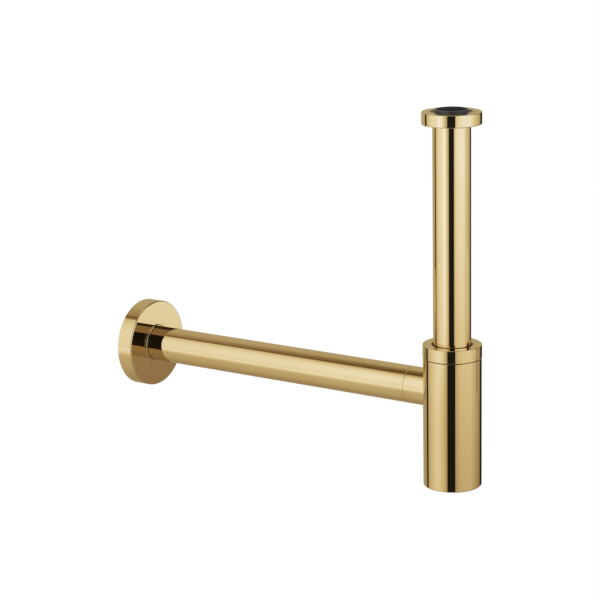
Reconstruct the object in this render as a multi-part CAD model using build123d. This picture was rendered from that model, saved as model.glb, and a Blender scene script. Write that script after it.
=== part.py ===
from build123d import *
import math
import os

# Bottle trap for a wash basin, in millimetres, +Z up and +Y into the wall.
# The origin is on the outlet's axis, in the plane of the wall that holds the trap.
# Heights on the inlet axis are measured from the top of the union nut, which is 0, and
# distances along the outlet from the inlet axis. Two placements set both into the frame.

# Where the inlet stands, from the wall and above the outlet's axis
wall_reach = 331.8
inlet_rise = 238.5

# Tubes
tube_od = 32.0
tube_wall = 1.2
tube_ir = tube_od / 2 - tube_wall
tube_or = tube_od / 2

# Clearances on the radius, and the open seam under the clamp nut
seal_gap = 0.3
slide_gap = 0.4
thread_gap = 0.3
seam_gap = 0.55

# Union nut with a G 1 1/4 thread, drawn plain at the thread's minor diameter
union_nut_od = 50.0
union_nut_height = 10.4
union_thread_minor = 38.95
union_web = 3.4
union_edge = 0.6

# Inlet collar and the gasket that sits in its recess
collar_r = union_thread_minor / 2 - thread_gap
collar_height = 2.6
recess_r = 17.4
recess_depth = 1.6
gasket_sink = 0.6
gasket_lip_r = 14.0
gasket_lip_height = 2.1
gasket_bore_r = 12.4

# Rings of round rubber section
ring_section = 1.3
ring_groove_width = 1.8
groove_bottom_gap = 0.4

# Clamp nut at the top of the bottle
clamp_nut_od = 50.1
clamp_nut_top = -197.0
clamp_nut_height = 11.0
clamp_hole_r = 17.4
clamp_web = 2.0
clamp_edge = 0.5
clamp_hole_edge = 0.3
seam_edge = 0.3
clamp_nut_bottom = clamp_nut_top - clamp_nut_height

# Bottle
bottle_od = 49.7
bottle_wall = 1.5
bottle_floor = 2.0
bottle_bottom = -321.0
bottle_foot_edge = 0.8
bottle_shoulder = clamp_nut_bottom - seam_gap
shoulder_thickness = 2.0
bottle_r = bottle_od / 2

# Threaded neck of the bottle, drawn plain at the thread's root
neck_thread_r = 22.0
neck_thread_depth = 0.6
neck_wall = 1.4
neck_ledge_r = 18.6
neck_root_r = neck_thread_r - neck_thread_depth

# Stack under the clamp nut: washer, seal, dip tube flange, neck ledge
washer_thickness = 1.0
washer_snap = 0.8
washer_play = 0.3
seal_flange_height = 3.0
seal_wedge_depth = 4.0
dip_flange_height = 2.0
dip_tube_or = 18.1
dip_tube_ir = 16.9
dip_tube_end = -304.5
dip_seat_r = 19.0
washer_top = clamp_nut_top - clamp_web
seal_top = washer_top - washer_thickness
neck_top = seal_top - seal_flange_height
ledge_top = neck_top - dip_flange_height

# Inlet tube length, set by how deep it stands in the bottle
inlet_insertion = 50.0
inlet_end = clamp_nut_top - inlet_insertion

# Outlet
stub_end = 39.7
stub_bore_r = 14.2
spigot_length = 20.0
spigot_bore_r = 11.9
spigot_r = tube_ir - seal_gap
spigot_step = 3.0
spigot_ring_places = (6.0, 12.0)
tube_joint_edge = 0.3
outlet_lead_in = 0.5

# Wall rosette
rosette_r = 39.6
rosette_depth = 15.3
rosette_plate = 2.0
rosette_rim = 1.6
rosette_edge = 1.0
rosette_back_edge = 0.3
rosette_lip_width = 1.2
rosette_lip_height = 1.2
rosette_lip_edge = 0.45
rosette_hub_r = 20.5
rosette_hub_length = 5.0
rosette_ring_section = 1.6
rosette_ring_groove = 2.1
rosette_ring_place = 3.8
rosette_front = wall_reach - rosette_depth

# Tube end that goes into the wall, with the turned line that marks how deep it goes
wall_insertion = 12.0
insertion_mark_width = 0.6
insertion_mark_depth = 0.2
outlet_end = wall_reach + wall_insertion

# A piece is turned about Z and then set on the inlet axis or laid along the outlet
on_inlet = Location((0, -wall_reach, inlet_rise))
along_outlet = Location((0, -wall_reach, 0), (-90, 0, 0))


def turned(*corners):
    """A solid turned about Z from its corners, each a radius and a height."""
    outline = Polyline([(r, 0, h) for r, h in corners], close=True)
    return revolve(make_face(outline), Axis.Z)


def rim(solid, radius, height):
    """The round edges of a turned solid at one radius and height."""
    near = 1e-4

    def wanted(edge):
        centre = edge.arc_center
        return (abs(edge.radius - radius) < near and abs(centre.Z - height) < near
                and math.hypot(centre.X, centre.Y) < near)

    return [e for e in solid.edges().filter_by(GeomType.CIRCLE) if wanted(e)]


def round_ring(inner_r, section, height):
    """A ring of round section with its bore at inner_r."""
    return Pos(0, 0, height) * Torus(inner_r + section / 2, section / 2)


def groove(middle, width, bottom_r):
    """The ring-shaped cut for a groove around a tube or spigot."""
    low = middle - width / 2
    high = middle + width / 2
    outside_r = tube_or + tube_wall
    return turned((bottom_r, low), (outside_r, low), (outside_r, high), (bottom_r, high))


def make_union_nut():
    outer_r = union_nut_od / 2
    thread_r = union_thread_minor / 2
    bore_r = tube_or + slide_gap
    web_top = union_web - union_nut_height
    groove_r = tube_or + seal_gap + ring_section + groove_bottom_gap
    groove_low = union_ring_height - ring_groove_width / 2
    groove_high = union_ring_height + ring_groove_width / 2
    nut = turned(
        (bore_r, -union_nut_height), (outer_r, -union_nut_height), (outer_r, 0), (thread_r, 0),
        (thread_r, web_top), (bore_r, web_top), (bore_r, groove_high), (groove_r, groove_high),
        (groove_r, groove_low), (bore_r, groove_low),
    )
    edges = rim(nut, outer_r, 0) + rim(nut, outer_r, -union_nut_height)
    return on_inlet * fillet(edges, union_edge)


def make_union_nut_ring():
    return on_inlet * round_ring(tube_or + seal_gap, ring_section, union_ring_height)


def make_inlet_tube():
    return on_inlet * turned(
        (tube_ir, inlet_end), (tube_or, inlet_end), (tube_or, -collar_height), (collar_r, -collar_height),
        (collar_r, 0), (recess_r, 0), (recess_r, -recess_depth), (tube_ir, -recess_depth),
    )


def make_inlet_gasket():
    flange_r = recess_r - seal_gap
    return on_inlet * turned(
        (gasket_bore_r, -recess_depth), (flange_r, -recess_depth), (flange_r, -gasket_sink),
        (gasket_lip_r, -gasket_sink), (gasket_lip_r, gasket_lip_height), (gasket_bore_r, gasket_lip_height),
    )


def make_clamp_nut():
    outer_r = clamp_nut_od / 2
    thread_r = neck_thread_r + thread_gap
    groove_r = thread_r + washer_snap + seal_gap
    groove_low = seal_top - washer_play
    nut = turned(
        (thread_r, clamp_nut_bottom), (outer_r, clamp_nut_bottom), (outer_r, clamp_nut_top),
        (clamp_hole_r, clamp_nut_top), (clamp_hole_r, washer_top), (groove_r, washer_top),
        (groove_r, groove_low), (thread_r, groove_low),
    )
    nut = fillet(rim(nut, outer_r, clamp_nut_top), clamp_edge)
    nut = fillet(rim(nut, clamp_hole_r, clamp_nut_top), clamp_hole_edge)
    return on_inlet * fillet(rim(nut, outer_r, clamp_nut_bottom), seam_edge)


def make_slip_washer():
    inner_r = tube_or + slide_gap
    outer_r = neck_thread_r + thread_gap + washer_snap
    return on_inlet * turned(
        (inner_r, seal_top), (outer_r, seal_top), (outer_r, washer_top), (inner_r, washer_top),
    )


def make_tube_seal():
    inner_r = tube_or + seal_gap
    flange_r = neck_root_r - seal_gap
    wedge_end = neck_top - seal_wedge_depth
    return on_inlet * turned(
        (inner_r, wedge_end), (dip_tube_ir - seal_gap, wedge_end), (dip_seat_r - seal_gap, neck_top),
        (flange_r, neck_top), (flange_r, seal_top), (inner_r, seal_top),
    )


def make_dip_tube():
    flange_r = neck_root_r - neck_wall - seal_gap
    seat_end = neck_top - seal_wedge_depth
    return on_inlet * turned(
        (dip_tube_ir, dip_tube_end), (dip_tube_or, dip_tube_end), (dip_tube_or, ledge_top),
        (flange_r, ledge_top), (flange_r, neck_top), (dip_seat_r, neck_top), (dip_tube_ir, seat_end),
    )


def make_bottle_body():
    inner_r = bottle_r - bottle_wall
    neck_bore_r = neck_root_r - neck_wall
    roof = bottle_shoulder - shoulder_thickness
    cup = turned(
        (0, bottle_bottom), (bottle_r, bottle_bottom), (bottle_r, bottle_shoulder),
        (neck_root_r, bottle_shoulder), (neck_root_r, neck_top), (0, neck_top),
    )
    cup = fillet(rim(cup, bottle_r, bottle_bottom), bottle_foot_edge)
    cup = fillet(rim(cup, bottle_r, bottle_shoulder), seam_edge)
    stub = turned((0, 0), (tube_or, 0), (tube_or, stub_end), (0, stub_end))
    stub = fillet(rim(stub, tube_or, stub_end), tube_joint_edge)
    spigot = turned((0, 0), (spigot_r, 0), (spigot_r, stub_end + spigot_length), (0, stub_end + spigot_length))
    spigot = chamfer(rim(spigot, spigot_r, stub_end + spigot_length), outlet_lead_in)
    for place in outlet_ring_heights:
        spigot -= groove(place, ring_groove_width, spigot_r - ring_section - groove_bottom_gap)
    cavity = turned(
        (0, bottle_bottom + bottle_floor), (inner_r, bottle_bottom + bottle_floor), (inner_r, roof),
        (neck_ledge_r, roof), (neck_ledge_r, ledge_top), (neck_bore_r, ledge_top), (neck_bore_r, neck_top),
        (0, neck_top),
    )
    waterway = turned(
        (0, 0), (stub_bore_r, 0), (stub_bore_r, stub_end - spigot_step), (spigot_bore_r, stub_end - spigot_step),
        (spigot_bore_r, stub_end + spigot_length), (0, stub_end + spigot_length),
    )
    outside = on_inlet * cup + along_outlet * (stub + spigot)
    return outside - on_inlet * cavity - along_outlet * waterway


def make_outlet_tube():
    tube = turned((tube_ir, stub_end), (tube_or, stub_end), (tube_or, outlet_end), (tube_ir, outlet_end))
    tube = fillet(rim(tube, tube_or, stub_end), tube_joint_edge)
    tube = chamfer(rim(tube, tube_or, outlet_end), outlet_lead_in)
    mark = wall_reach - insertion_mark_width / 2
    return along_outlet * (tube - groove(mark, insertion_mark_width, tube_or - insertion_mark_depth))


def make_outlet_ring(place):
    return along_outlet * round_ring(spigot_r - ring_section, ring_section, place)


def make_wall_rosette():
    hole_r = tube_or + slide_gap
    lip_r = hole_r + rosette_lip_width
    lip_front = rosette_front - rosette_lip_height
    plate_back = rosette_front + rosette_plate
    hub_end = plate_back + rosette_hub_length
    groove_r = tube_or + seal_gap + rosette_ring_section + groove_bottom_gap
    groove_low = rosette_ring_height - rosette_ring_groove / 2
    groove_high = rosette_ring_height + rosette_ring_groove / 2
    rosette = turned(
        (hole_r, lip_front), (lip_r, lip_front), (lip_r, rosette_front), (rosette_r, rosette_front),
        (rosette_r, wall_reach),
        (rosette_r - rosette_rim, wall_reach), (rosette_r - rosette_rim, plate_back),
        (rosette_hub_r, plate_back), (rosette_hub_r, hub_end), (hole_r, hub_end), (hole_r, groove_high),
        (groove_r, groove_high), (groove_r, groove_low), (hole_r, groove_low),
    )
    rosette = fillet(rim(rosette, rosette_r, rosette_front), rosette_edge)
    rosette = fillet(rim(rosette, lip_r, lip_front), rosette_lip_edge)
    return along_outlet * chamfer(rim(rosette, rosette_r, wall_reach), rosette_back_edge)


def make_rosette_ring():
    return along_outlet * round_ring(tube_or + seal_gap, rosette_ring_section, rosette_ring_height)


# Where the rubber rings sit along their axes
union_ring_height = union_web / 2 - union_nut_height
outlet_ring_heights = [stub_end + place for place in spigot_ring_places]
rosette_ring_height = rosette_front + rosette_ring_place

pieces = {
    "union_nut": make_union_nut(),
    "union_nut_ring": make_union_nut_ring(),
    "inlet_tube": make_inlet_tube(),
    "inlet_gasket": make_inlet_gasket(),
    "clamp_nut": make_clamp_nut(),
    "slip_washer": make_slip_washer(),
    "tube_seal": make_tube_seal(),
    "dip_tube": make_dip_tube(),
    "bottle_body": make_bottle_body(),
    "outlet_tube": make_outlet_tube(),
    "outlet_ring_inner": make_outlet_ring(outlet_ring_heights[0]),
    "outlet_ring_outer": make_outlet_ring(outlet_ring_heights[1]),
    "wall_rosette": make_wall_rosette(),
    "rosette_ring": make_rosette_ring(),
}

os.makedirs("parts", exist_ok=True)
for node, solid in pieces.items():
    export_step(solid, f"parts/{node}.step")
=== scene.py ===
import math

import bpy
from mathutils import Euler, Matrix, Vector


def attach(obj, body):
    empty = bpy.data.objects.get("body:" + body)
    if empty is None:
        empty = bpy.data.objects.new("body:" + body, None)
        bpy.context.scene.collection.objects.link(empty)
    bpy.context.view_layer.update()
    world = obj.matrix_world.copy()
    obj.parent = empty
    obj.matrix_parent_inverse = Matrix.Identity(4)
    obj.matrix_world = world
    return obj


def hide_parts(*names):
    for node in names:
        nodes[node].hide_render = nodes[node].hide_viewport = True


# Looks of a gilded bottle trap, in metres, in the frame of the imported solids.
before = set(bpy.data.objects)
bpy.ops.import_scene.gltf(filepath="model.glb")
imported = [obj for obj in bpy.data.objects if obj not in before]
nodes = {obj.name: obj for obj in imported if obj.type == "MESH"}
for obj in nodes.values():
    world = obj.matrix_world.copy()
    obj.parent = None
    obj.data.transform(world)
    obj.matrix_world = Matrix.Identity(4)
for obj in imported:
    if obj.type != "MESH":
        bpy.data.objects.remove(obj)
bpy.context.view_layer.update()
mm = 0.001

# Where the inlet axis stands, and the height of the union nut's top
inlet_place = Vector((0, -331.8, 238.5)) * mm

# Union nut: sizes of the solid, and the pipe thread cut into its bore
nut_r, nut_height, nut_edge = 25.0 * mm, 10.4 * mm, 0.6 * mm
nut_bore_r, nut_web = 16.4 * mm, 3.4 * mm
nut_thread_r, nut_thread_depth, nut_thread_pitch = 19.475 * mm, 1.48 * mm, 2.309 * mm
nut_thread_fade = 0.6 * nut_thread_pitch
nut_ring_groove_r, nut_ring_groove_width = 18.0 * mm, 1.8 * mm

# Inlet gasket
gasket_bore_r, gasket_lip_r, gasket_flange_r = 12.4 * mm, 14.0 * mm, 17.1 * mm
gasket_lip_height, gasket_seat, gasket_sink = 2.1 * mm, 1.6 * mm, 0.6 * mm
gasket_edge, gasket_bore_edge = 0.8 * mm, 0.4 * mm

# Thread on the bottle's neck, as a sleeve let into the neck's wall
neck_low, neck_high = -208.4 * mm, -203.3 * mm
neck_sleeve_r, neck_root_r = 20.9 * mm, 21.41 * mm
neck_thread_depth, neck_thread_pitch = 0.58 * mm, 1.5 * mm
neck_thread_fade = 0.4 * neck_thread_pitch

# Meshing of the turned pieces. A tooth's root and crest are flat outside these shares of its flank,
# and a piece without a thread may have any pitch
steps_round = 160
rows_per_thread = 18
flank_start, flank_end = 0.14, 0.86
unthreaded = 1.0
arc_steps = 6
guard = 0.02 * mm
weld = 0.001 * mm
hard_edge = math.radians(32)

# Patches of tone, and the grain of moulded pieces
patch_detail, patch_roughness = 3.0, 0.45
patch_low, patch_high = 0.3, 0.7
grain_detail, grain_roughness = 2.0, 0.6
grain_share, dimple_share, dimple_reach = 0.7, 0.3, 0.6

# Gilding: its tones, how large their patches and those of the haze are, the haze as roughness, and
# the marks of buffing
gilding_dark, gilding_light = (0.790, 0.627, 0.352), (0.812, 0.652, 0.380)
gilding_patches, haze_patches = 26.0, 210.0
haze_least, haze_most = 0.018, 0.040
buffing_scale, buffing_detail, buffing_strength, buffing_depth = 2600.0, 2.0, 0.05, 0.004 * mm

# Rubber and plastic: shares of drift and grain in the tone, where the tone's ends lie, and how much
# of the relief shows
drift_share, speckle_share = 0.6, 0.4
dark_end, light_end = 0.15, 0.85
relief_strength = 0.5

# Camera
camera_place = (-1.39505, -1.12965, 0.47921)
camera_azimuth, camera_pitch, camera_roll = (math.radians(a) for a in (-55.691, 13.916, -1.244))
camera_lens, camera_sensor = 118.314, 36.0
camera_near, camera_far = 0.05, 100.0

# Floor, lamps, and the even light that all but mirror rays and the camera see
floor_height, floor_width, floor_squares = -0.6, 60.0, 8
floor_shade, floor_lift = 0.93, 0.08
lamp_spread, lamp_lean, lamp_turn = (math.radians(a) for a in (70.0, 38.0, 50.0))
left_lamp, right_lamp = 0.45, 0.35
even_light, backdrop_light = 0.8, 1.0


class Wiring:
    """Adds nodes to one tree and links values or sockets into them."""

    def __init__(self, tree):
        self.tree = tree

    def add(self, kind, inputs=None, **settings):
        node = self.tree.nodes.new(kind)
        for name, value in settings.items():
            setattr(node, name, value)
        for key, value in (inputs or {}).items():
            self.put(node.inputs[key], value)
        return node

    def put(self, socket, value):
        if isinstance(value, bpy.types.NodeSocket):
            self.tree.links.new(value, socket)
        else:
            socket.default_value = value

    def math(self, operation, *values, clamp=False):
        node = self.add("ShaderNodeMath", dict(enumerate(values)),
                        operation=operation, use_clamp=clamp)
        return node.outputs[0]

    def dot(self, vector, axis):
        node = self.add("ShaderNodeVectorMath", {0: vector, 1: axis}, operation="DOT_PRODUCT")
        return node.outputs["Value"]

    def ramp(self, factor, stops):
        node = self.add("ShaderNodeValToRGB", {"Fac": factor})
        marks = node.color_ramp.elements
        while len(marks) < len(stops):
            marks.new(0.5)
        for mark, (place, colour) in zip(marks, stops):
            mark.position = place
            mark.color = (*colour, 1.0)
        return node.outputs["Color"]


def grey(level):
    return (level, level, level)


def new_group(name, kind, sockets):
    """An empty node group with its named inputs and outputs."""
    tree = bpy.data.node_groups.new(name, kind)
    for label, in_out, socket_kind, default in sockets:
        socket = tree.interface.new_socket(label, in_out=in_out, socket_type=socket_kind)
        if default is not None:
            socket.default_value = default
    return tree, Wiring(tree)


# Shader groups shared by the finishes


def make_tone_group():
    """Slow drift of tone over a surface, from 0 to 1."""
    tree, w = new_group("slow_tone", "ShaderNodeTree", [
        ("Vector", "INPUT", "NodeSocketVector", None),
        ("Patch Scale", "INPUT", "NodeSocketFloat", 30.0),
        ("Tone", "OUTPUT", "NodeSocketFloat", None),
    ])
    source = w.add("NodeGroupInput")
    cloud = w.add("ShaderNodeTexNoise", {
        "Vector": source.outputs["Vector"], "Scale": source.outputs["Patch Scale"],
        "Detail": patch_detail, "Roughness": patch_roughness,
    })
    evened = w.add("ShaderNodeMapRange", {
        "Value": cloud.outputs["Fac"], "From Min": patch_low, "From Max": patch_high,
    }, interpolation_type="SMOOTHSTEP")
    w.add("NodeGroupOutput", {"Tone": evened.outputs["Result"]})
    return tree


def make_grain_group():
    """Fine moulded grain with a few wider dimples: a height and a mask, both from 0 to 1."""
    tree, w = new_group("fine_grain", "ShaderNodeTree", [
        ("Vector", "INPUT", "NodeSocketVector", None),
        ("Grain Scale", "INPUT", "NodeSocketFloat", 4000.0),
        ("Dimple Scale", "INPUT", "NodeSocketFloat", 900.0),
        ("Height", "OUTPUT", "NodeSocketFloat", None),
        ("Mask", "OUTPUT", "NodeSocketFloat", None),
    ])
    source = w.add("NodeGroupInput")
    grain = w.add("ShaderNodeTexNoise", {
        "Vector": source.outputs["Vector"], "Scale": source.outputs["Grain Scale"],
        "Detail": grain_detail, "Roughness": grain_roughness,
    })
    dimples = w.add("ShaderNodeTexVoronoi", {
        "Vector": source.outputs["Vector"], "Scale": source.outputs["Dimple Scale"],
    }, feature="SMOOTH_F1")
    dents = w.math("MULTIPLY", dimples.outputs["Distance"], dimple_reach, clamp=True)
    height = w.math("ADD", w.math("MULTIPLY", grain.outputs["Fac"], grain_share),
                    w.math("MULTIPLY", dents, dimple_share))
    w.add("NodeGroupOutput", {"Height": height, "Mask": grain.outputs["Fac"]})
    return tree


slow_tone = make_tone_group()
fine_grain = make_grain_group()


def start_material(name):
    material = bpy.data.materials.new(name)
    material.use_nodes = True
    w = Wiring(material.node_tree)
    shader = next(n for n in w.tree.nodes if n.type == "BSDF_PRINCIPLED")
    place = w.add("ShaderNodeTexCoord").outputs["Object"]
    return material, w, shader, place


def placed_group(w, group, place, **values):
    node = w.add("ShaderNodeGroup", node_tree=group)
    w.put(node.inputs["Vector"], place)
    for label, value in values.items():
        node.inputs[label.replace("_", " ")].default_value = value
    return node


def make_polished_gold():
    """Gilded brass buffed to a mirror, with faint drift in the gilding and in the buffing haze."""
    material, w, shader, place = start_material("gilded_mirror_polish")
    tone = placed_group(w, slow_tone, place, Patch_Scale=gilding_patches).outputs["Tone"]
    haze = placed_group(w, slow_tone, place, Patch_Scale=haze_patches).outputs["Tone"]
    buffing = w.add("ShaderNodeTexNoise", {
        "Vector": place, "Scale": buffing_scale, "Detail": buffing_detail,
    })
    gilding = w.ramp(tone, [(0.0, gilding_dark), (1.0, gilding_light)])
    w.put(shader.inputs["Base Color"], gilding)
    shader.inputs["Metallic"].default_value = 1.0
    polish = w.add("ShaderNodeMapRange", {
        "Value": haze, "To Min": haze_least, "To Max": haze_most,
    })
    w.put(shader.inputs["Roughness"], polish.outputs["Result"])
    bump = w.add("ShaderNodeBump", {
        "Height": buffing.outputs["Fac"], "Strength": buffing_strength, "Distance": buffing_depth,
    })
    w.put(shader.inputs["Normal"], bump.outputs["Normal"])
    return material


def make_moulded(name, dark, light, roughness, grain_scale, dimple_scale, relief, patch_scale):
    """Rubber or plastic from a mould: drifting tone, fine grain in the height and the gloss."""
    material, w, shader, place = start_material(name)
    tone = placed_group(w, slow_tone, place, Patch_Scale=patch_scale).outputs["Tone"]
    grain = placed_group(w, fine_grain, place, Grain_Scale=grain_scale, Dimple_Scale=dimple_scale)
    mixed = w.math("ADD", w.math("MULTIPLY", tone, drift_share),
                   w.math("MULTIPLY", grain.outputs["Mask"], speckle_share))
    w.put(shader.inputs["Base Color"], w.ramp(mixed, [(dark_end, dark), (light_end, light)]))
    gloss = w.add("ShaderNodeMapRange", {
        "Value": mixed, "To Min": roughness[0], "To Max": roughness[1],
    })
    w.put(shader.inputs["Roughness"], gloss.outputs["Result"])
    bump = w.add("ShaderNodeBump", {
        "Height": grain.outputs["Height"], "Strength": relief_strength, "Distance": relief,
    })
    w.put(shader.inputs["Normal"], bump.outputs["Normal"])
    return material


finishes = {
    "polished_gold": make_polished_gold(),
    "black_rubber": make_moulded(
        "black_seal_rubber", dark=(0.030, 0.030, 0.029), light=(0.066, 0.064, 0.060),
        roughness=(0.26, 0.40), grain_scale=5200.0, dimple_scale=1500.0, relief=0.03 * mm,
        patch_scale=140.0),
    "black_plastic": make_moulded(
        "black_slip_plastic", dark=(0.014, 0.014, 0.015), light=(0.026, 0.026, 0.027),
        roughness=(0.30, 0.42), grain_scale=3800.0, dimple_scale=1100.0, relief=0.02 * mm,
        patch_scale=90.0),
    "grey_plastic": make_moulded(
        "grey_moulded_plastic", dark=(0.300, 0.305, 0.310), light=(0.370, 0.372, 0.372),
        roughness=(0.36, 0.50), grain_scale=3000.0, dimple_scale=800.0, relief=0.02 * mm,
        patch_scale=60.0),
}

# Each solid takes the finish of its slot
for solid in nodes.values():
    for place, old in enumerate(solid.data.materials):
        solid.data.materials[place] = finishes[old.name.split(".")[0]]


# Pieces turned from an outline by a node tree


def make_turning_tree():
    """Turns the object's own outline about Z. Its point attribute "thread" is the height of the
    thread's teeth there, outwards from the outline."""
    tree, w = new_group("turned_outline", "GeometryNodeTree", [
        ("Outline", "INPUT", "NodeSocketGeometry", None),
        ("Steps Round", "INPUT", "NodeSocketInt", 96),
        ("Thread Pitch", "INPUT", "NodeSocketFloat", 2.0 * mm),
        ("Hard Edge", "INPUT", "NodeSocketFloat", 0.5),
        ("Stands At", "INPUT", "NodeSocketVector", None),
        ("Finish", "INPUT", "NodeSocketMaterial", None),
        ("Turned Piece", "OUTPUT", "NodeSocketGeometry", None),
    ])
    source = w.add("NodeGroupInput")
    outline, steps = source.outputs["Outline"], source.outputs["Steps Round"]
    size = w.add("GeometryNodeAttributeDomainSize", {"Geometry": outline}, component="MESH")
    points = size.outputs["Point Count"]
    rows = w.math("ADD", points, 1.0)
    sheet = w.add("GeometryNodeMeshGrid", {
        "Vertices X": w.math("ADD", steps, 1.0), "Vertices Y": rows,
    })
    index = w.add("GeometryNodeInputIndex").outputs[0]
    column = w.math("FLOOR", w.math("DIVIDE", w.math("ADD", index, 0.5), rows))
    row = w.math("SUBTRACT", index, w.math("MULTIPLY", column, rows))
    on_outline = w.math("MODULO", row, points)
    corner = w.add("GeometryNodeSampleIndex", {
        "Geometry": outline, "Index": on_outline,
        "Value": w.add("GeometryNodeInputPosition").outputs[0],
    }, data_type="FLOAT_VECTOR")
    thread = w.add("GeometryNodeInputNamedAttribute", {"Name": "thread"}, data_type="FLOAT")
    depth = w.add("GeometryNodeSampleIndex", {
        "Geometry": outline, "Value": thread.outputs["Attribute"], "Index": on_outline,
    }, data_type="FLOAT")
    split = w.add("ShaderNodeSeparateXYZ", {"Vector": corner.outputs["Value"]})
    height = split.outputs["Z"]
    turn = w.math("DIVIDE", column, steps)
    angle = w.math("MULTIPLY", turn, 2 * math.pi)
    threads_up = w.math("DIVIDE", height, source.outputs["Thread Pitch"])
    along = w.math("FRACT", w.math("SUBTRACT", threads_up, turn))
    tooth = w.math("SUBTRACT", 1.0, w.math("ABSOLUTE", w.math("MULTIPLY_ADD", along, 2.0, -1.0)))
    flank = w.add("ShaderNodeMapRange", {
        "Value": tooth, "From Min": flank_start, "From Max": flank_end,
    }, interpolation_type="SMOOTHSTEP")
    radius = w.math("MULTIPLY_ADD", depth.outputs["Value"], flank.outputs["Result"],
                    split.outputs["X"])
    turned = w.add("ShaderNodeCombineXYZ", {
        "X": w.math("MULTIPLY", radius, w.math("COSINE", angle)),
        "Y": w.math("MULTIPLY", radius, w.math("SINE", angle)), "Z": height,
    })
    set_up = w.add("ShaderNodeVectorMath", {
        0: turned.outputs[0], 1: source.outputs["Stands At"],
    }, operation="ADD")
    formed = w.add("GeometryNodeSetPosition", {
        "Geometry": sheet.outputs["Mesh"], "Position": set_up.outputs["Vector"],
    })
    closed = w.add("GeometryNodeMergeByDistance", {"Geometry": formed.outputs[0], "Distance": weld})
    smooth = w.add("GeometryNodeSetShadeSmooth", {
        "Geometry": closed.outputs[0], "Shade Smooth": True,
    }, domain="FACE")
    bend = w.add("GeometryNodeInputMeshEdgeAngle").outputs["Unsigned Angle"]
    crisp = w.add("GeometryNodeSetShadeSmooth", {
        "Geometry": smooth.outputs[0], "Shade Smooth": False,
        "Selection": w.math("GREATER_THAN", bend, source.outputs["Hard Edge"]),
    }, domain="EDGE")
    real = w.add("GeometryNodeRealizeInstances", {"Geometry": crisp.outputs[0]})
    finished = w.add("GeometryNodeSetMaterial", {
        "Geometry": real.outputs[0], "Material": source.outputs["Finish"],
    })
    w.add("NodeGroupOutput", {"Turned Piece": finished.outputs[0]})
    return tree


turning_tree = make_turning_tree()


def softened(before, corner, after, edge):
    """A corner of an outline as an arc, with a guard point on each side so that flats stay flat."""
    corner = Vector(corner)
    back = (Vector(before) - corner).normalized()
    ahead = (Vector(after) - corner).normalized()
    half = back.angle(ahead) / 2
    run = edge / math.tan(half)
    centre = corner + (back + ahead).normalized() * (edge / math.sin(half))
    first, last = corner + back * run, corner + ahead * run
    points = [first + back * guard]
    for step in range(arc_steps + 1):
        share = step / arc_steps
        spoke = (first - centre).normalized().slerp((last - centre).normalized(), share)
        points.append(centre + spoke * edge)
    points.append(last + ahead * guard)
    return points


def outline_of(corners):
    """Points of a closed outline from its corners: radius, height and how far it is softened."""
    points = []
    for place, (r, h, edge) in enumerate(corners):
        if edge:
            before, after = corners[place - 1], corners[(place + 1) % len(corners)]
            points += softened(before[:2], (r, h), after[:2], edge)
        else:
            points.append(Vector((r, h)))
    return [(p.x, p.y, 0.0) for p in points]


def threaded_run(r, start, end, depth, pitch, fade):
    """Points along a wall at one radius, with a thread that fades in and out at its ends."""
    rows = max(2, round(abs(end - start) / pitch * rows_per_thread))
    run = []
    for row in range(rows + 1):
        h = start + (end - start) * row / rows
        ends = min(abs(h - start), abs(h - end))
        run.append((r, h, depth * min(1.0, ends / fade)))
    return run


def turn_piece(name, outline, finish, pitch, stands_at):
    """Turns an outline of radius, height and height of teeth into a plain mesh object."""
    mesh = bpy.data.meshes.new(name + "_outline")
    count = len(outline)
    edges = [(i, (i + 1) % count) for i in range(count)]
    mesh.from_pydata([(r, 0, h) for r, h, _ in outline], edges, [])
    teeth = mesh.attributes.new("thread", "FLOAT", "POINT")
    teeth.data.foreach_set("value", [t for _, _, t in outline])
    piece = bpy.data.objects.new(name, mesh)
    bpy.context.scene.collection.objects.link(piece)
    lathe = piece.modifiers.new("turning", "NODES")
    lathe.node_group = turning_tree
    values = {"Steps Round": steps_round, "Thread Pitch": pitch, "Hard Edge": hard_edge,
              "Stands At": stands_at, "Finish": finishes[finish]}
    for socket in turning_tree.interface.items_tree:
        if socket.in_out == "INPUT" and socket.name in values:
            lathe[socket.identifier] = values[socket.name]
    ready = piece.evaluated_get(bpy.context.evaluated_depsgraph_get())
    turned = bpy.data.meshes.new_from_object(ready)
    piece.modifiers.clear()
    piece.data = turned
    turned.name = name
    bpy.data.meshes.remove(mesh)
    return piece


def make_union_nut():
    """The nut with its cut thread, which takes the place of the bore's two plain corners."""
    web_top = nut_web - nut_height
    ring_middle = nut_web / 2 - nut_height
    ring_low = ring_middle - nut_ring_groove_width / 2
    ring_high = ring_middle + nut_ring_groove_width / 2
    outside = outline_of([
        (nut_bore_r, -nut_height, 0), (nut_r, -nut_height, nut_edge), (nut_r, 0, nut_edge),
        (nut_thread_r, 0, 0), (nut_thread_r, web_top, 0),
    ])[:-2]
    bore = threaded_run(nut_thread_r, 0, web_top, nut_thread_depth, nut_thread_pitch,
                        nut_thread_fade)
    tail = outline_of([
        (nut_bore_r, web_top, 0), (nut_bore_r, ring_high, 0), (nut_ring_groove_r, ring_high, 0),
        (nut_ring_groove_r, ring_low, 0), (nut_bore_r, ring_low, 0),
    ])
    nut = turn_piece("threaded_union_nut", outside + bore + tail, "polished_gold",
                     nut_thread_pitch, inlet_place)
    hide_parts("union_nut")
    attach(nut, "nut")


def make_neck_thread():
    """The cut thread that the clamp nut turns on."""
    inside = [(neck_sleeve_r, neck_high, 0.0), (neck_sleeve_r, neck_low, 0.0)]
    wall = threaded_run(neck_root_r, neck_low, neck_high, neck_thread_depth, neck_thread_pitch,
                        neck_thread_fade)
    sleeve = turn_piece("neck_thread", inside + wall, "polished_gold",
                        neck_thread_pitch, inlet_place)
    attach(sleeve, "bottle")


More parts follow.
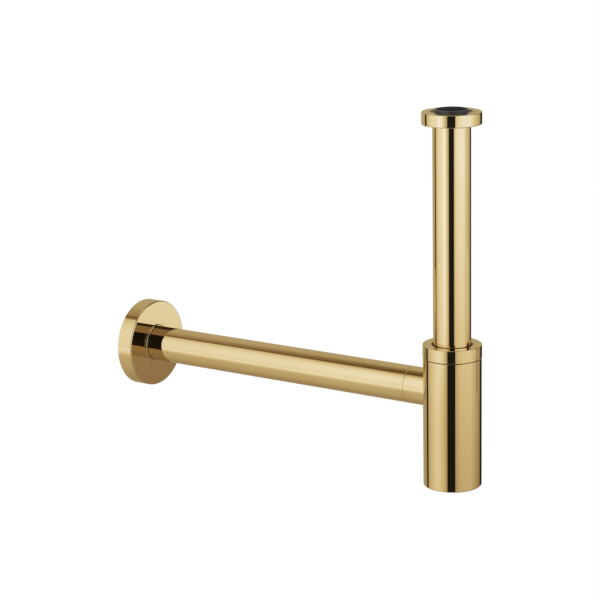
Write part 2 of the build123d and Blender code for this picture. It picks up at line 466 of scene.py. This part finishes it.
def make_gasket():
    """The gasket with the rounded edges that a mould gives rubber."""
    outline = outline_of([
        (gasket_bore_r, -gasket_seat, 0), (gasket_flange_r, -gasket_seat, 0),
        (gasket_flange_r, -gasket_sink, gasket_bore_edge),
        (gasket_lip_r, -gasket_sink, gasket_edge),
        (gasket_lip_r, gasket_lip_height, gasket_edge),
        (gasket_bore_r, gasket_lip_height, gasket_bore_edge),
    ])
    gasket = turn_piece("soft_edged_gasket", outline, "black_rubber", unthreaded, inlet_place)
    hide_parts("inlet_gasket")
    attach(gasket, "inlet")


make_union_nut()
make_neck_thread()
make_gasket()


# Studio


def make_floor():
    """A pale floor that keeps the trap's soft shadow, and that can be looked through from below."""
    bpy.ops.mesh.primitive_grid_add(x_subdivisions=floor_squares, y_subdivisions=floor_squares,
                                    size=floor_width, location=(0, 0, floor_height))
    floor = bpy.context.object
    floor.name = "studio_floor"
    floor.visible_glossy = False
    material = bpy.data.materials.new("pale_floor")
    material.use_nodes = True
    w = Wiring(material.node_tree)
    w.tree.nodes.clear()
    pale = w.add("ShaderNodeBsdfDiffuse", {"Color": (*grey(floor_shade), 1.0)})
    to_lens = w.add("ShaderNodeLightPath").outputs["Is Camera Ray"]
    lift = w.add("ShaderNodeEmission", {
        "Color": (1, 1, 1, 1), "Strength": w.math("MULTIPLY", to_lens, floor_lift),
    })
    both = w.add("ShaderNodeAddShader", {0: pale.outputs[0], 1: lift.outputs[0]})
    clear = w.add("ShaderNodeBsdfTransparent")
    from_below = w.add("ShaderNodeNewGeometry").outputs["Backfacing"]
    seen = w.add("ShaderNodeMixShader", {0: from_below, 1: both.outputs[0], 2: clear.outputs[0]})
    w.add("ShaderNodeOutputMaterial", {"Surface": seen.outputs[0]})
    floor.data.materials.append(material)


# Brightness of the studio as the mirror polish sees it. Bearings are in degrees to the right of
# the line from the inlet to the camera, and rises are in degrees above the horizon.
round_the_trap = [
    (-180, 0.57), (-150, 0.58), (-124, 0.57), (-121, 0.52), (-111, 0.52), (-104, 0.73), (-95, 0.86),
    (-85, 0.95), (-75, 1.01), (-65, 1.09), (-48, 1.13), (-35, 1.03), (-27, 0.81), (-21, 0.58),
    (13, 0.74), (18, 0.86), (27, 0.99), (40, 1.05), (76, 1.07), (86, 0.95), (96, 0.87), (106, 0.76),
    (120, 0.66), (131, 0.48), (138, 0.44), (160, 0.47), (180, 0.57),
]
round_the_floor = [
    (-180, 0.80), (-165, 0.71), (-150, 0.73), (-128, 0.79), (-117, 0.87), (-95, 0.99), (-60, 1.09),
    (0, 0.90), (60, 0.90), (140, 0.55), (180, 0.80),
]
left_heights = [
    (-90, 0.34), (-71, 0.36), (-66, 0.42), (-60, 0.54), (-52, 0.56), (-44, 0.57), (-38, 0.58),
    (-32, 0.60), (-27, 0.63), (-24, 0.67), (-21, 0.74), (-19, 0.82), (-17.5, 0.825), (-14, 0.955),
    (-10.5, 1.0), (-7.6, 1.0), (-6.0, 0.87), (0, 0.89), (13, 0.925), (36, 0.95), (44, 0.93),
    (49, 0.88), (53, 0.74), (57, 0.53), (59.5, 0.38), (62, 0.22), (66, 0.22), (74, 0.80),
    (90, 0.85),
]
right_heights = [
    (-90, 0.34), (-74, 0.34), (-66, 0.35), (-46, 0.42), (-30, 0.48), (-21, 0.58), (-18.8, 0.645),
    (-17.4, 0.725), (-14, 0.88), (-10, 1.0), (26, 1.0), (40, 0.45), (48, 0.33), (65, 0.24),
    (74, 0.80), (90, 0.85),
]
# Its colour by brightness, warm in the shade and cool in full light. The second table holds for the
# steep parts of the right side, where the shade is less warm.
studio_tint = [
    (0.0, (0.010, 0.010, 0.010)), (0.02, (0.017, 0.018, 0.019)), (0.06, (0.060, 0.045, 0.022)),
    (0.12, (0.120, 0.080, 0.028)), (0.20, (0.200, 0.135, 0.060)), (0.35, (0.350, 0.262, 0.165)),
    (0.50, (0.500, 0.425, 0.275)), (0.65, (0.650, 0.585, 0.415)), (0.80, (0.800, 0.752, 0.580)),
    (0.90, (0.900, 0.885, 0.780)), (1.00, (1.000, 1.040, 1.080)), (1.12, (1.130, 1.280, 1.680)),
]
steep_tint = [
    (0.0, (0.010, 0.010, 0.010)), (0.02, (0.017, 0.018, 0.019)), (0.35, (0.350, 0.285, 0.230)),
    (0.50, (0.500, 0.440, 0.350)), (1.00, (1.000, 1.000, 0.950)),
]
brightest, tint_span = 1.7, 1.15

# Where one part of the studio gives way to the next, and how softly: bearings of the right side,
# and rises of the floor's edge, of the ceiling's edge and of the level part between the steep ones
all_bearings, all_rises = 180.0, 90.0
right_side, right_soft = (0.0, 174.0), 4.0
floor_edge, floor_soft = -28.0, 8.0
ceiling_edge, ceiling_soft = 66.0, 5.0
level_part, level_soft = (-32.0, 34.0), 6.0

# Cards that stand in the studio: bearings and rises between which each one shows, how much of the
# light it leaves or adds, and how soft its sides and its ends are
cards = {
    "left flag": ((-120.5, -109.5), (-24.0, 30.0), 0.0, (0.5, 4.0)),
    "left net": ((-110.0, -97.5), (46.0, 62.0), 0.40, (2.5, 4.0)),
    "left low net": ((-71.0, -55.0), (-15.0, -6.5), 0.92, (7.0, 1.5)),
    "front low net": ((-52.0, -20.0), (-30.0, -16.4), 0.88, (10.0, 1.0)),
    "rear flag": ((99.0, 124.0), (-2.0, 42.0), 0.07, (3.0, 3.0)),
    "right flag": ((138.75, 176.5), (-27.0, 1.0), 0.0, (3.75, 4.0)),
    "wall glow": ((108.5, 115.0), (-14.95, -12.6), 1.5, (1.5, 0.25)),
    "wall shade": ((108.5, 115.0), (-16.7, -14.95), 0.61, (1.5, 0.25)),
    "front flag": ((-19.3, 11.6), (-48.0, 58.0), 0.02, (0.6, 3.0)),
    "front high flag": ((-19.3, 36.0), (24.0, 53.0), 0.02, (2.0, 4.0)),
}
# The front flag leans below the horizon: degrees to the right for each degree above its foot
front_lean, front_foot = 0.30, -17.0


def make_world():
    """The studio for mirror rays, white for the camera and even light for all else."""
    world = bpy.data.worlds.new("studio")
    bpy.context.scene.world = world
    world.use_nodes = True
    w = Wiring(world.node_tree)
    w.tree.nodes.clear()
    direction = w.add("ShaderNodeTexCoord").outputs["Generated"]
    towards = Vector(camera_place) - inlet_place
    to_camera = Vector((towards.x, towards.y, 0.0)).normalized()
    to_right = Vector((-to_camera.y, to_camera.x, 0.0))
    degrees = 180 / math.pi
    bearing = w.math("ARCTAN2", w.dot(direction, to_right), w.dot(direction, to_camera))
    bearing = w.math("MULTIPLY", bearing, degrees)
    rise = w.math("MULTIPLY", w.math("ARCSINE", w.dot(direction, (0.0, 0.0, 1.0))), degrees)

    def along(value, span, stops):
        share = w.math("MULTIPLY_ADD", value, 0.5 / span, 0.5)
        top = max(level for _, level in stops)
        ramp = w.ramp(share, [((at + span) / (2 * span), grey(level / top)) for at, level in stops])
        return w.math("MULTIPLY", ramp, top)

    def step_up(value, at, soft):
        node = w.add("ShaderNodeMapRange", {
            "Value": value, "From Min": at - soft, "From Max": at + soft,
        }, interpolation_type="SMOOTHSTEP")
        return node.outputs["Result"]

    def within(value, low, high, soft):
        return w.math("SUBTRACT", step_up(value, low, soft), step_up(value, high, soft))

    def blended(mask, first, second):
        return w.math("MULTIPLY_ADD", mask, w.math("SUBTRACT", second, first), first)

    def tinted(level, stops):
        return w.ramp(w.math("DIVIDE", level, tint_span), [
            (at / tint_span, tuple(c / brightest for c in colour)) for at, colour in stops])

    on_right = within(bearing, *right_side, right_soft)
    heights = blended(on_right, along(rise, all_rises, left_heights),
                      along(rise, all_rises, right_heights))
    sides = blended(step_up(rise, floor_edge, floor_soft),
                    along(bearing, all_bearings, round_the_floor),
                    along(bearing, all_bearings, round_the_trap))
    sides = blended(step_up(rise, ceiling_edge, ceiling_soft), sides, 1.0)
    level = w.math("MULTIPLY", sides, heights)
    fall = w.math("MINIMUM", rise, 0.0)
    lean = w.math("MULTIPLY_ADD", fall, front_lean, -front_lean * front_foot)
    leaning = w.math("SUBTRACT", bearing, lean)
    for name, ((left, right), (low, high), left_over, (soft_side, soft_end)) in cards.items():
        side = leaning if name == "front flag" else bearing
        mask = w.math("MULTIPLY", within(side, left, right, soft_side),
                      within(rise, low, high, soft_end))
        level = w.math("MULTIPLY", level, w.math("MULTIPLY_ADD", mask, left_over - 1.0, 1.0))
    steep = w.math("SUBTRACT", 1.0, within(rise, *level_part, level_soft))
    steep = w.math("MULTIPLY", steep, on_right)
    # Inputs 6 and 7 of the Mix node are its colours, and output 2 is their mix
    tint = w.add("ShaderNodeMix", {
        0: steep, 6: tinted(level, studio_tint), 7: tinted(level, steep_tint),
    }, data_type="RGBA")
    mirrored = w.add("ShaderNodeBackground", {"Color": tint.outputs[2], "Strength": brightest})
    plain = w.add("ShaderNodeBackground", {"Color": (1, 1, 1, 1), "Strength": even_light})
    white = w.add("ShaderNodeBackground", {"Color": (1, 1, 1, 1), "Strength": backdrop_light})
    path = w.add("ShaderNodeLightPath").outputs
    shiny = w.math("MAXIMUM", path["Is Glossy Ray"], path["Is Transmission Ray"])
    lit = w.add("ShaderNodeMixShader", {0: shiny, 1: plain.outputs[0], 2: mirrored.outputs[0]})
    seen = w.add("ShaderNodeMixShader", {
        0: path["Is Camera Ray"], 1: lit.outputs[0], 2: white.outputs[0],
    })
    w.add("ShaderNodeOutputWorld", {"Surface": seen.outputs[0]})


def make_lamp(name, strength, turn):
    """A wide, even lamp far away, above the camera's side and turned from the camera's line."""
    light = bpy.data.lights.new(name, "SUN")
    light.energy = strength
    light.angle = lamp_spread
    lamp = bpy.data.objects.new(name, light)
    lamp.rotation_euler = Euler((lamp_lean, 0.0, camera_azimuth + turn))
    lamp.visible_glossy = False
    bpy.context.scene.collection.objects.link(lamp)


def make_camera():
    lens = bpy.data.cameras.new("photo_camera")
    lens.lens, lens.sensor_width = camera_lens, camera_sensor
    lens.clip_start, lens.clip_end = camera_near, camera_far
    camera = bpy.data.objects.new("photo_camera", lens)
    bpy.context.scene.collection.objects.link(camera)
    turn = Matrix.Rotation(camera_azimuth, 4, "Z")
    tilt = Matrix.Rotation(math.pi / 2 - camera_pitch, 4, "X")
    roll = Matrix.Rotation(camera_roll, 4, "Z")
    camera.matrix_world = Matrix.Translation(camera_place) @ (turn @ tilt @ roll)
    bpy.context.scene.camera = camera


make_floor()
make_world()
make_lamp("left_softbox", left_lamp, -lamp_turn)
make_lamp("right_softbox", right_lamp, lamp_turn)
make_camera()
bpy.context.scene.view_settings.view_transform = "Standard"
